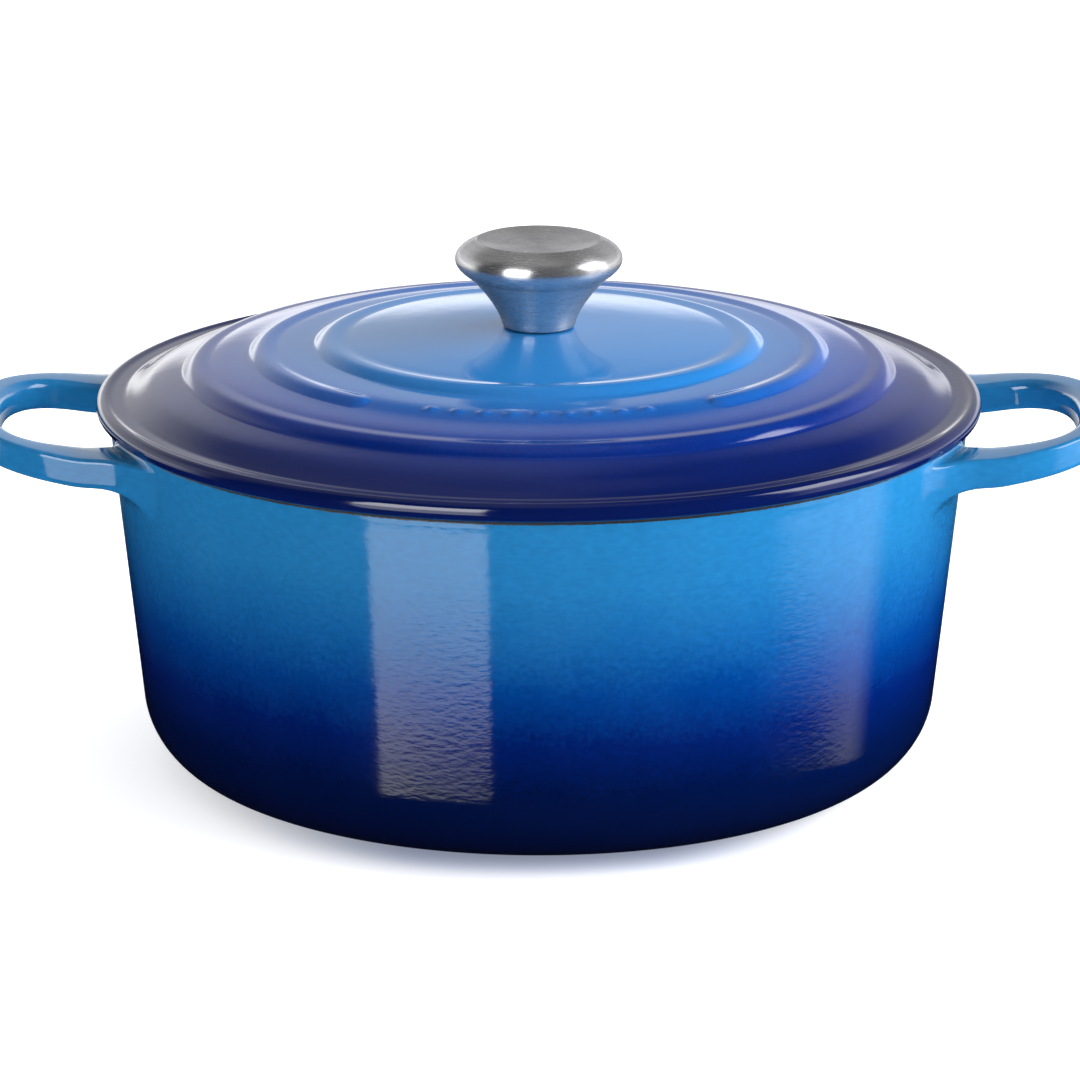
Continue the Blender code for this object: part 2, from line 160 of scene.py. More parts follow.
@dataclass
class Shell:
    """Mesh of one piece while it is being made.

    Attributes:
        name: Name of the piece.
        corners: Its points.
        faces: Its faces, as indices of points.
        zones: Which finish each face takes.
    """

    name: str
    corners: list[tuple[float, float, float]] = field(default_factory=list)
    faces: list[tuple[int, ...]] = field(default_factory=list)
    zones: list[int] = field(default_factory=list)

    def ring(self, points: Sequence[tuple[float, float, float]]) -> list[int]:
        """Add one ring of points.

        Args:
            points: The new points.

        Returns:
            Their indices.
        """
        first = len(self.corners)
        self.corners.extend(points)
        return list(range(first, len(self.corners)))

    def bridge(self, first: Sequence[int], second: Sequence[int], zone: int) -> None:
        """Join two closed rings with faces; a ring of one point makes a fan.

        Args:
            first: Indices of one ring.
            second: Indices of the next ring.
            zone: The finish of the new faces.
        """
        count = max(len(first), len(second))
        for index in range(count):
            after = (index + 1) % count
            if len(first) == 1:
                face = (first[0], second[after], second[index])
            elif len(second) == 1:
                face = (first[index], first[after], second[0])
            else:
                face = (first[index], first[after], second[after], second[index])
            self.faces.append(face)
            self.zones.append(zone)

    def turn(self, outline: Sequence[Point], zones: Sequence[int], segments: int,
             relief: Relief | None = None) -> None:
        """Spin an outline round the Z axis.

        Args:
            outline: Radius and height of each point.
            zones: Finish of the band after each point.
            segments: How many flats go round.
            relief: Height added at a radius and an angle, or none.
        """
        rings = []
        for r, z in outline:
            if r < 1e-7:
                rings.append(self.ring([(0.0, 0.0, z)]))
                continue
            points = []
            for step in range(segments):
                angle = 2 * pi * step / segments
                lift = relief(r, angle) if relief else 0.0
                points.append((r * cos(angle), r * sin(angle), z + lift))
            rings.append(self.ring(points))
        for first, second, zone in zip(rings, rings[1:], zones):
            self.bridge(first, second, zone)

    def make(self, finishes: Sequence[bpy.types.Material], sharp: float = 40.0) -> bpy.types.Object:
        """Turn the shell into an object.

        Args:
            finishes: Materials, in the order of the zones.
            sharp: Angle in degrees above which an edge stays crisp.

        Returns:
            The new object.
        """
        mesh = bpy.data.meshes.new(self.name)
        mesh.from_pydata(self.corners, [], self.faces)
        for finish in finishes:
            mesh.materials.append(finish)
        mesh.polygons.foreach_set("material_index", self.zones)
        bm = bmesh.new()
        bm.from_mesh(mesh)
        bmesh.ops.recalc_face_normals(bm, faces=bm.faces)
        bm.to_mesh(mesh)
        bm.free()
        mesh.shade_smooth()
        mesh.set_sharp_from_angle(angle=radians(sharp))
        thing = bpy.data.objects.new(self.name, mesh)
        bpy.context.scene.collection.objects.link(thing)
        return thing


def fit(piece: bpy.types.Object, body: str, node: str) -> bpy.types.Object:
    """Attach a piece to its body, hide the CAD node it stands for, and report it.

    Args:
        piece: The finished piece.
        body: Body it moves with.
        node: CAD node it stands for.

    Returns:
        The same piece.
    """
    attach(piece, body)
    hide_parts(node)
    LOG.info("%s: %d faces, moves with %s", piece.name, len(piece.data.polygons), body)
    return piece


# --------------------------------------------------------------------------------------------- finishes


class Graph:
    """Short way to place and join nodes in one tree."""

    def __init__(self, tree: bpy.types.NodeTree) -> None:
        """Keep the tree that nodes are placed in."""
        self.tree = tree

    def put(self, socket: bpy.types.NodeSocket, value: Value) -> None:
        """Join a socket to another, or set its value.

        Args:
            socket: The input to fill.
            value: A socket to join it to, or a plain value; three numbers are also taken as a colour.
        """
        if isinstance(value, bpy.types.NodeSocket):
            self.tree.links.new(value, socket)
        elif isinstance(value, (tuple, list)) and len(value) == 3 and len(socket.default_value) == 4:
            socket.default_value = (*value, 1.0)
        else:
            socket.default_value = value

    def node(self, kind: str, inputs: dict[Any, Value] | None = None, **settings: Any) -> bpy.types.Node:
        """Place one node.

        Args:
            kind: Type of the node.
            inputs: Values or sockets for its inputs, by name or number.
            settings: Its own options.

        Returns:
            The node.
        """
        made = self.tree.nodes.new(kind)
        for name, value in settings.items():
            setattr(made, name, value)
        for name, value in (inputs or {}).items():
            self.put(made.inputs[name], value)
        return made

    def maths(self, operation: str, first: Value, second: Value = 0.0,
              clamp: bool = False) -> bpy.types.NodeSocket:
        """Work out one sum and return its result."""
        made = self.node("ShaderNodeMath", {0: first, 1: second}, operation=operation, use_clamp=clamp)
        return made.outputs[0]

    def around_zero(self, value: Value, width: float) -> bpy.types.NodeSocket:
        """Move a pattern that runs from 0 to 1 to the middle of 0, and give it a width."""
        return self.maths("MULTIPLY", self.maths("SUBTRACT", value, 0.5), width)

    def span(self, value: Value, low: float, high: float, start: float = 0.0, end: float = 1.0,
             smooth: bool = True) -> bpy.types.NodeSocket:
        """Ease a value from one range to another, held at both ends.

        Args:
            value: What is mapped.
            low: Start of the range it comes from.
            high: End of that range.
            start: Result at the low end.
            end: Result at the high end.
            smooth: Whether the ends are eased.

        Returns:
            The mapped value.
        """
        made = self.node(
            "ShaderNodeMapRange",
            {"Value": value, "From Min": low, "From Max": high, "To Min": start, "To Max": end},
            interpolation_type="SMOOTHSTEP" if smooth else "LINEAR",
        )
        return made.outputs["Result"]

    def noise(self, place: Value, scale: Value, detail: float = 2.0,
              rough: float = 0.5) -> bpy.types.NodeSocket:
        """Cloudy pattern of one grain size.

        Args:
            place: Position that the pattern is laid out by.
            scale: How many grains there are in a metre.
            detail: How many finer layers it has.
            rough: How strong the finer layers are.

        Returns:
            The pattern, 0 to 1.
        """
        made = self.node(
            "ShaderNodeTexNoise", {"Vector": place, "Scale": scale, "Detail": detail, "Roughness": rough},
        )
        return made.outputs["Fac"]

    def blend(self, share: Value, first: Value, second: Value, way: str = "MIX") -> bpy.types.NodeSocket:
        """Mix two colours.

        Args:
            share: How much of the second colour.
            first: The colour at a share of 0.
            second: The colour at a share of 1.
            way: How the two are put together.

        Returns:
            The mixed colour.
        """
        made = self.node("ShaderNodeMix", data_type="RGBA", blend_type=way, clamp_factor=True)
        self.put(made.inputs[0], share)
        self.put(made.inputs[6], first)
        self.put(made.inputs[7], second)
        return made.outputs[2]

    def ramp(self, share: Value, stops: Sequence[tuple[float, Colour]]) -> bpy.types.NodeSocket:
        """Run through a row of colours.

        Args:
            share: Where along the row, 0 to 1.
            stops: Position and colour of each stop.

        Returns:
            The colour.
        """
        made = self.node("ShaderNodeValToRGB", {"Fac": share})
        band = made.color_ramp
        while len(band.elements) < len(stops):
            band.elements.new(0.5)
        for element, (position, _) in zip(band.elements, stops):
            element.position = position
        for element, (_, colour) in zip(band.elements, stops):
            element.color = (*colour, 1.0)
        return made.outputs["Color"]

    def place(self) -> bpy.types.NodeSocket:
        """Position on the piece, in metres."""
        return self.node("ShaderNodeTexCoord").outputs["Object"]

    def split(self, place: Value) -> tuple[bpy.types.NodeSocket, ...]:
        """X, Y and Z of a position."""
        made = self.node("ShaderNodeSeparateXYZ", {"Vector": place})
        return made.outputs[0], made.outputs[1], made.outputs[2]

    def from_axis(self, place: Value) -> tuple[bpy.types.NodeSocket, bpy.types.NodeSocket]:
        """Distance from the upright axis, and height.

        Args:
            place: Position on the piece.

        Returns:
            The distance and the height.
        """
        x, y, z = self.split(place)
        flat = self.node("ShaderNodeCombineXYZ", {0: x, 1: y}).outputs[0]
        length = self.node("ShaderNodeVectorMath", {0: flat}, operation="LENGTH")
        return length.outputs["Value"], z

    def bump(self, height: Value, distance: float, strength: float = 1.0) -> bpy.types.NodeSocket:
        """Surface normal roughened by a height pattern."""
        made = self.node("ShaderNodeBump", {"Height": height, "Distance": distance, "Strength": strength})
        return made.outputs["Normal"]


def new_group(
    name: str, inputs: dict[str, str], outputs: dict[str, str],
) -> tuple[bpy.types.NodeTree, Graph, bpy.types.Node, bpy.types.Node]:
    """Start a shared node group.

    Args:
        name: Name of the group.
        inputs: Its inputs and their socket types.
        outputs: Its outputs and their socket types.

    Returns:
        The tree, a graph for it, and its input and output nodes.
    """
    tree = bpy.data.node_groups.new(name, "ShaderNodeTree")
    for way, sockets in (("INPUT", inputs), ("OUTPUT", outputs)):
        for label, kind in sockets.items():
            tree.interface.new_socket(name=label, in_out=way, socket_type=kind)
    graph = Graph(tree)
    return tree, graph, graph.node("NodeGroupInput"), graph.node("NodeGroupOutput")


NUMBER = "NodeSocketFloat"
VECTOR = "NodeSocketVector"


class SharedEffects:
    """Node groups that several finishes use, each built once."""

    def __init__(self) -> None:
        """Build every group."""
        self.glaze = self._glaze()
        self.turning = self._turning()

    @staticmethod
    def _glaze() -> bpy.types.NodeTree:
        """Sprayed and fired glass coat: fine spray specks, cloudy thickness and a rippled skin.

        Returns:
            The group.
        """
        tree, graph, given, out = new_group(
            "fired_glaze",
            {"Position": VECTOR, "Speck Size": NUMBER, "Ripple Size": NUMBER},
            {"Specks": NUMBER, "Clouds": NUMBER, "Ripple": NUMBER},
        )
        place = given.outputs["Position"]
        per_speck = graph.maths("DIVIDE", 1.0, given.outputs["Speck Size"])
        sag = {0: place, 1: (1.0, 1.0, 2.4)}
        flowed = graph.node("ShaderNodeVectorMath", sag, operation="MULTIPLY").outputs[0]
        per_ripple = graph.maths("DIVIDE", 1.0, given.outputs["Ripple Size"])
        graph.put(out.inputs["Specks"], graph.noise(place, per_speck))
        graph.put(out.inputs["Clouds"], graph.noise(place, 42.0, 3.0, 0.55))
        graph.put(out.inputs["Ripple"], graph.noise(flowed, per_ripple, 1.5))
        return tree

    @staticmethod
    def _turning() -> bpy.types.NodeTree:
        """Fine circular lines left by brushing a part on a lathe.

        Returns:
            The group.
        """
        tree, graph, given, out = new_group(
            "turned_grain", {"Position": VECTOR, "Line Width": NUMBER}, {"Lines": NUMBER, "Bands": NUMBER},
        )
        radius, height = graph.from_axis(given.outputs["Position"])
        x, y, _ = graph.split(given.outputs["Position"])
        turn = graph.maths("ARCTAN2", y, x)
        drift = graph.maths("MULTIPLY", turn, 0.0006)
        ringed = graph.node("ShaderNodeCombineXYZ", {0: radius, 1: height, 2: drift}).outputs[0]
        per_line = graph.maths("DIVIDE", 1.0, given.outputs["Line Width"])
        graph.put(out.inputs["Lines"], graph.noise(ringed, per_line, 3.0, 0.7))
        graph.put(out.inputs["Bands"], graph.noise(ringed, 650.0))
        return tree

    def coat(self, graph: Graph, place: Value, speck: float, ripple: float) -> bpy.types.Node:
        """Place the glaze group in a material.

        Args:
            graph: Graph of the material.
            place: Position on the piece.
            speck: Size of its spray specks.
            ripple: Size of the ripples of its skin.

        Returns:
            The group's node.
        """
        glaze = graph.node("ShaderNodeGroup", node_tree=self.glaze)
        graph.put(glaze.inputs["Position"], place)
        glaze.inputs["Speck Size"].default_value = speck
        glaze.inputs["Ripple Size"].default_value = ripple
        return glaze


def new_finish(name: str) -> tuple[bpy.types.Material, Graph, bpy.types.Node]:
    """Start a material.

    Args:
        name: Name of the material.

    Returns:
        The material, a graph for its tree, and its shader.
    """
    made = bpy.data.materials.new(name)
    made.use_nodes = True
    return made, Graph(made.node_tree), made.node_tree.nodes["Principled BSDF"]


@dataclass(frozen=True)
class PotEnamel:
    """Outside of the pot: bright blue at the rim that is sprayed into near black at the base.

    Attributes:
        name: Name of the material.
        shade: Colours from the base, 0, to the top, 1.
        top: Height where the last colour is reached.
        bare_rim: Height above which the iron is bare.
        bare_radius: Radius outside which nothing is bare.
        rim_fade: Half the width of the coat's edge at the bare rim.
        grit_size: How far the coat's edge strays up and down.
        iron: Colour of the bare iron.
        speck: Size of the spray specks.
        ripple: Size of the ripples of the skin.
        speck_spread: How far the specks carry a colour up and down.
        cloud_spread: How far the clouds do.
        painted_ripple_shading: Darkest and lightest share of a colour over the ripples: painted light and
            shade that follows the ripples of the skin.
        gloss: Lowest and highest roughness.
        bare_rough: Roughness that the bare rim adds.
        relief: Height of the ripples.
    """

    name: str = "pot_enamel"
    shade: tuple[tuple[float, Colour], ...] = (
        (0.00, paint(3, 8, 34)),
        (0.22, paint(0, 13, 55)),
        (0.36, paint(0, 22, 84)),
        (0.50, paint(0, 51, 117)),
        (0.64, paint(15, 82, 140)),
        (0.80, paint(27, 102, 155)),
        (1.00, paint(31, 110, 163)),
    )
    top: float = 0.1130
    bare_rim: float = 0.1105
    bare_radius: float = 0.1330
    rim_fade: float = 0.0001
    grit_size: float = 0.0008
    iron: Colour = paint(20, 19, 22)
    speck: float = 0.0016
    ripple: float = 0.0032
    speck_spread: float = 0.011
    cloud_spread: float = 0.008
    painted_ripple_shading: Point = (0.90, 1.07)
    gloss: Point = (0.05, 0.10)
    bare_rough: float = 0.45
    relief: float = 0.000020

    def make(self, effects: SharedEffects) -> bpy.types.Material:
        """Build the material.

        Args:
            effects: The shared node groups.

        Returns:
            The material.
        """
        made, graph, shader = new_finish(self.name)
        place = graph.place()
        glaze = effects.coat(graph, place, self.speck, self.ripple)
        height = graph.split(place)[2]
        specks = graph.around_zero(glaze.outputs["Specks"], self.speck_spread)
        clouds = graph.around_zero(glaze.outputs["Clouds"], self.cloud_spread)
        sprayed = graph.maths("ADD", height, graph.maths("ADD", specks, clouds))
        share = graph.maths("DIVIDE", sprayed, self.top, clamp=True)
        # Painted light and shade: the colour is darkened and lightened with the ripples of the skin, as
        # their shading would do.
        painted_ripple_shading = graph.span(glaze.outputs["Ripple"], 0.25, 0.75, *self.painted_ripple_shading, smooth=False)
        painted_ripple_shade_colour = graph.node("ShaderNodeCombineColor", {0: painted_ripple_shading, 1: painted_ripple_shading, 2: painted_ripple_shading}).outputs[0]
        colour = graph.blend(1.0, graph.ramp(share, self.shade), painted_ripple_shade_colour, "MULTIPLY")
        ragged = graph.maths("ADD", height, graph.around_zero(graph.noise(place, 1500.0), self.grit_size))
        bare = graph.span(ragged, self.bare_rim - self.rim_fade, self.bare_rim + self.rim_fade)
        radius, _ = graph.from_axis(place)
        on_rim = graph.span(radius, self.bare_radius + 2 * self.rim_fade, self.bare_radius)
        bare = graph.maths("MULTIPLY", bare, on_rim)
        graph.put(shader.inputs["Base Color"], graph.blend(bare, colour, self.iron))
        rough = graph.span(glaze.outputs["Clouds"], 0.3, 0.7, *self.gloss)
        rough = graph.maths("ADD", rough, graph.maths("MULTIPLY", bare, self.bare_rough))
        graph.put(shader.inputs["Roughness"], rough)
        orange_peel = graph.maths("MULTIPLY", glaze.outputs["Specks"], 0.05)
        skin = graph.maths("ADD", glaze.outputs["Ripple"], orange_peel)
        graph.put(shader.inputs["Normal"], graph.bump(skin, self.relief))
        shader.inputs["IOR"].default_value = GLASS_IOR
        return made


@dataclass(frozen=True)
class LidEnamel:
    """Top of the lid: sky blue in the middle that is sprayed into indigo at the edge.

    Attributes:
        name: Name of the material.
        shade: Colours from the middle, 0, to the edge, 1: the lid's own sky blue to indigo, with the two
            innermost lightened a little as a painted reflection near the knob's foot.
        edge: Radius where the last colour is reached.
        speck: Size of the spray specks.
        ripple: Size of the ripples of the skin.
        speck_spread: How far the specks carry a colour in and out.
        cloud_spread: How far the clouds do.
        gloss: Lowest and highest roughness.
        relief: Height of the ripples.
    """

    name: str = "lid_enamel"
    shade: tuple[tuple[float, Colour], ...] = (
        # The two innermost colours are lightened a little: painted reflection near the knob's foot.
        (0.00, paint(42, 128, 198)),
        (0.25, paint(38, 120, 188)),
        (0.48, paint(36, 114, 182)),
        (0.58, paint(32, 98, 170)),
        (0.65, paint(22, 76, 154)),
        (0.72, paint(14, 58, 140)),
        (0.80, paint(8, 36, 110)),
        (0.88, paint(7, 25, 86)),
        (1.00, paint(5, 18, 68)),
    )
    edge: float = 0.1365
    speck: float = 0.0010
    ripple: float = 0.0052
    speck_spread: float = 0.008
    cloud_spread: float = 0.010
    gloss: Point = (0.05, 0.10)
    relief: float = 0.000022

    def make(self, effects: SharedEffects) -> bpy.types.Material:
        """Build the material.

        Args:
            effects: The shared node groups.

        Returns:
            The material.
        """
        made, graph, shader = new_finish(self.name)
        place = graph.place()
        glaze = effects.coat(graph, place, self.speck, self.ripple)
        radius, _ = graph.from_axis(place)
        specks = graph.around_zero(glaze.outputs["Specks"], self.speck_spread)
        clouds = graph.around_zero(glaze.outputs["Clouds"], self.cloud_spread)
        sprayed = graph.maths("ADD", radius, graph.maths("ADD", specks, clouds))
        share = graph.maths("DIVIDE", sprayed, self.edge, clamp=True)
        graph.put(shader.inputs["Base Color"], graph.ramp(share, self.shade))
        graph.put(shader.inputs["Roughness"], graph.span(glaze.outputs["Clouds"], 0.3, 0.7, *self.gloss))
        graph.put(shader.inputs["Normal"], graph.bump(glaze.outputs["Ripple"], self.relief))
        shader.inputs["IOR"].default_value = GLASS_IOR
        return made


@dataclass(frozen=True)
class CreamEnamel:
    """Pale glossy coat inside the pot and under the lid, with sparse darker spots.

    Attributes:
        name: Name of the material.
        pale: Colour where the coat is thick.
        warm: Colour where it is thin.
        spot: Colour of the sparse spots.
        spot_strength: How strongly the spots show.
        speck: Size of the spots.
        ripple: Size of the ripples of the skin.
        gloss: Lowest and highest roughness.
        relief: Height of the ripples.
    """

    name: str = "cream_enamel"
    pale: Colour = paint(231, 222, 200)
    warm: Colour = paint(219, 207, 180)
    spot: Colour = paint(176, 158, 126)
    spot_strength: float = 0.6
    speck: float = 0.0008
    ripple: float = 0.0060
    gloss: Point = (0.10, 0.18)
    relief: float = 0.00005

    def make(self, effects: SharedEffects) -> bpy.types.Material:
        """Build the material.

        Args:
            effects: The shared node groups.

        Returns:
            The material.
        """
        made, graph, shader = new_finish(self.name)
        place = graph.place()
        glaze = effects.coat(graph, place, self.speck, self.ripple)
        base = graph.blend(graph.span(glaze.outputs["Clouds"], 0.35, 0.65), self.pale, self.warm)
        spots = graph.maths("MULTIPLY", graph.span(glaze.outputs["Specks"], 0.66, 0.72), self.spot_strength)
        graph.put(shader.inputs["Base Color"], graph.blend(spots, base, self.spot))
        graph.put(shader.inputs["Roughness"], graph.span(glaze.outputs["Clouds"], 0.3, 0.7, *self.gloss))
        graph.put(shader.inputs["Normal"], graph.bump(glaze.outputs["Ripple"], self.relief))
        return made


@dataclass(frozen=True)
class BareRim:
    """Matt black band of the pot's rim, where the lid sits.

    Attributes:
        name: Name of the material.
        iron: Colour of the bare iron.
        worn: Colour where the lid has rubbed it.
        matt: Lowest and highest roughness.
        relief: Height of the grit.
    """

    name: str = "bare_rim"
    iron: Colour = paint(20, 19, 22)
    worn: Colour = paint(58, 54, 54)
    matt: Point = (0.45, 0.65)
    relief: float = 0.0001

    def make(self) -> bpy.types.Material:
        """Build the material.

        Returns:
            The material.
        """
        made, graph, shader = new_finish(self.name)
        grit = graph.noise(graph.place(), 1400.0, 3.0, 0.6)
        colour = graph.blend(graph.span(grit, 0.45, 0.75), self.iron, self.worn)
        graph.put(shader.inputs["Base Color"], colour)
        graph.put(shader.inputs["Roughness"], graph.span(grit, 0.3, 0.7, *self.matt))
        graph.put(shader.inputs["Normal"], graph.bump(grit, self.relief, 0.6))
        return made


@dataclass(frozen=True)
class TurnedSteel:
    """Steel brushed in circles.

    Attributes:
        name: Name of the material.
        bright: Colour of the crests of the brush lines.
        dull: Colour between them.
        line: Width of a brush line.
        gloss: Lowest and highest roughness.
        stretch: How far highlights are drawn out across the lines.
        metal: How metallic it is.
        edge_tint: Colour that dims what it mirrors at a low angle.
        relief: Height of the brush lines.
    """

    name: str
    bright: Colour
    dull: Colour
    line: float
    gloss: Point
    stretch: float
    metal: float = 0.88
    edge_tint: Colour = (0.40, 0.40, 0.41)
    relief: float = 0.000002

    def make(self, effects: SharedEffects) -> bpy.types.Material:
        """Build the material.

        Args:
            effects: The shared node groups.

        Returns:
            The material.
        """
        made, graph, shader = new_finish(self.name)
        turning = graph.node("ShaderNodeGroup", node_tree=effects.turning)
        graph.put(turning.inputs["Position"], graph.place())
        turning.inputs["Line Width"].default_value = self.line
        lines = turning.outputs["Lines"]
        both = graph.maths("MULTIPLY", graph.maths("ADD", lines, turning.outputs["Bands"]), 0.5)
        colour = graph.blend(graph.span(both, 0.35, 0.65), self.dull, self.bright)
        graph.put(shader.inputs["Base Color"], colour)
        graph.put(shader.inputs["Roughness"], graph.span(lines, 0.3, 0.7, *self.gloss))
        graph.put(shader.inputs["Normal"], graph.bump(lines, self.relief, 0.5))
        shader.inputs["Metallic"].default_value = self.metal
        shader.inputs["Specular Tint"].default_value = (*self.edge_tint, 1.0)
        shader.inputs["Anisotropic"].default_value = self.stretch
        shader.inputs["Anisotropic Rotation"].default_value = 0.25
        around = graph.node("ShaderNodeTangent", direction_type="RADIAL", axis="Z")
        graph.put(shader.inputs["Tangent"], around.outputs["Tangent"])
        return made


# ----------------------------------------------------------------------------------------------- pieces


class Zone(Enum):
    """Which finish a band of the pot or the lid takes."""

    OUTSIDE = 0
    INSIDE = 1
    RIM = 2


@dataclass
class LoopHandle:
    """Loop handle cast on the pot's wall: straight arms and a rounded end that rises outwards.

    Attributes:
        rim: Radius of the pot's rim.
        top_z: Height of the pot.
        lean: Lean of the wall.
        outer: Heart, reach, half length and squareness of the outer outline.
        hole: The same for the hole.
        spread: Distance out within which the outer arms spread towards the wall, and their slope.
        drop: How far the top lies under the rim at the root.
        rise: Slope at which the loop rises outwards.
        rise_start: Distance out at which it starts to rise, and the length that eases it in.
        height: Height of the section.
        edges: Rounding of the inner top, outer top, outer low and inner low edges.
        outer_fillet: Root fillet on the outside of the arms.
        inner_fillet: Root fillet in the hole.
        lower_fillet: Root fillet under the arms.
        upper_fillet: Root fillet on top of the arms.
        straighten: Distance from the wall over which the section stops leaning with it.
        sink: How far the ends reach into the wall.
        edge_limit: Largest rounding of an edge, as a share of the section's width.
        rings: Sections from the end to one root.
        crowding: How much closer together the sections stand at the root; 1 is even.
        corner_steps: Flats of each rounded edge.
    """

    rim: float = 0.1325
    top_z: float = 0.1114
    lean: float = radians(6.0)
    outer: tuple[float, float, float, float] = (0.1300, 0.1745, 0.0520, 2.9)
    hole: tuple[float, float, float, float] = (0.1460, 0.1662, 0.0362, 2.5)
    spread: tuple[float, float] = (0.1460, 0.16)
    drop: float = 0.0024
    rise: float = 0.13
    rise_start: tuple[float, float] = (0.1360, 0.0060)
    height: float = 0.0093
    edges: tuple[float, float, float, float] = (0.0016, 0.0032, 0.0022, 0.0020)
    outer_fillet: float = 0.0120
    inner_fillet: float = 0.0100
    lower_fillet: float = 0.0110
    upper_fillet: float = 0.0022
    straighten: float = 0.0120
    sink: float = 0.00005
    edge_limit: float = 0.45
    rings: int = 52
    crowding: float = 1.4
    corner_steps: int = 6

    @staticmethod
    def _outline(outline: tuple[float, float, float, float], angle: float) -> Point:
        """Plan point of an outline: straight out to its heart, then round its end.

        Args:
            outline: Heart, reach, half length and squareness.
            angle: Turn about the heart; past a quarter turn it runs along the arm.

        Returns:
            Distance out and to the side.
        """
        heart, reach, half, squareness = outline
        if angle >= pi / 2:
            return heart - (angle - pi / 2) * half, half
        power = 2 / squareness
        return heart + (reach - heart) * cos(angle) ** power, half * sin(angle) ** power

    def _place(self, outline: tuple[float, float, float, float], run: float) -> Point:
        """Place a point of an outline about the pot's axis.

        Args:
            outline: Heart, reach, half length and squareness.
            run: 0 at the outline's end and 1 on the wall.

        Returns:
            Distance from the pot's axis, and turn about it.
        """
        heart, _, half, _ = outline
        at_wall = half
        if outline is self.outer:
            for _ in range(8):
                wall_x = sqrt(self.rim ** 2 - at_wall ** 2)
                at_wall = half * (1 + self.spread[1] * (self.spread[0] - wall_x) / half)
        last = pi / 2 + (heart - sqrt(self.rim ** 2 - at_wall ** 2)) / half
        x, y = self._outline(outline, run * last)
        if outline is self.outer:
            y *= 1 + self.spread[1] * (self.spread[0] - x) / half
        return hypot(x, y), atan2(y, x)

    def _lift(self, x: float) -> float:
        """How far the loop has risen.

        Args:
            x: Distance out.

        Returns:
            The rise.
        """
        start, ease = self.rise_start
        past = max(x - start, 0.0)
        if past < ease:
            return self.rise * past ** 2 / (2 * ease)
        return self.rise * (past - ease / 2)

    @staticmethod
    def _spread(distance: float, fillet: float) -> float:
        """How far a root fillet spreads along the wall at a distance from it."""
        reach = fillet - min(max(distance, 0.0), fillet)
        return fillet - sqrt(max(fillet ** 2 - reach ** 2, 0.0))

    def _section(self, width: float) -> list[tuple[float, float, float, float]]:
        """Rounded section of the loop.

        Args:
            width: Width of the section.

        Returns:
            Distance across, height, and the way each point faces.
        """
        top = self.top_z - self.drop
        low = top - self.height
        corners = (
            (width, top, -1, -1, 0.0), (0.0, top, 1, -1, pi / 2),
            (0.0, low, 1, 1, pi), (width, low, -1, 1, 1.5 * pi),
        )
        points = []
        for (across, z, way_x, way_z, start), edge in zip(corners, self.edges):
            edge = min(edge, width * self.edge_limit)
            for step in range(self.corner_steps + 1):
                angle = start + pi / 2 * step / self.corner_steps
                face_x, face_z = cos(angle), sin(angle)
                place = (across + edge * (way_x + face_x), z + edge * (way_z + face_z))
                points.append((*place, face_x, face_z))
        return points

    def ring(self, side: int, run: float) -> list[tuple[float, float, float]]:
        """One section of the loop.

        Args:
            side: 1 for the right handle, -1 for the left.
            run: Place along the loop, from -1 at one root to 1 at the other.

        Returns:
            The points of the section.
        """
        hand = -1.0 if run < 0 else 1.0
        along = 1 - (1 - abs(run)) ** self.crowding
        inner_r, inner_turn = self._place(self.hole, along)
        outer_r, outer_turn = self._place(self.outer, along)
        width = hypot(outer_r * cos(outer_turn) - inner_r * cos(inner_turn),
                      outer_r * sin(outer_turn) - inner_r * sin(inner_turn))
        points = []
        for across, z, face_x, face_z in self._section(width):
            share = across / width
            distance = inner_r + (outer_r - inner_r) * share - self.rim
            fillet = self.outer_fillet if face_x > 0 else self.inner_fillet
            share += face_x * self._spread(distance, fillet) / width
            z += face_z * self._spread(distance, self.upper_fillet if face_z > 0 else self.lower_fillet)
            radius = inner_r + (outer_r - inner_r) * share
            turn = hand * (inner_turn + (outer_turn - inner_turn) * share)
            radius -= tan(self.lean) * (self.top_z - z) * (1 - smoothstep(distance / self.straighten))
            if abs(run) == 1:
                radius -= self.sink
            x = radius * cos(turn)
            points.append((side * x, radius * sin(turn), z + self._lift(x)))
        return points

    def add_to(self, shell: Shell, side: int) -> None:
        """Add the whole loop to the pot's mesh.

        Args:
            shell: The pot's shell.
            side: 1 for the right handle, -1 for the left.
        """
        loops = [shell.ring(self.ring(side, step / self.rings - 1)) for step in range(2 * self.rings + 1)]
        for first, second in zip(loops, loops[1:]):
            shell.bridge(first, second, Zone.OUTSIDE.value)


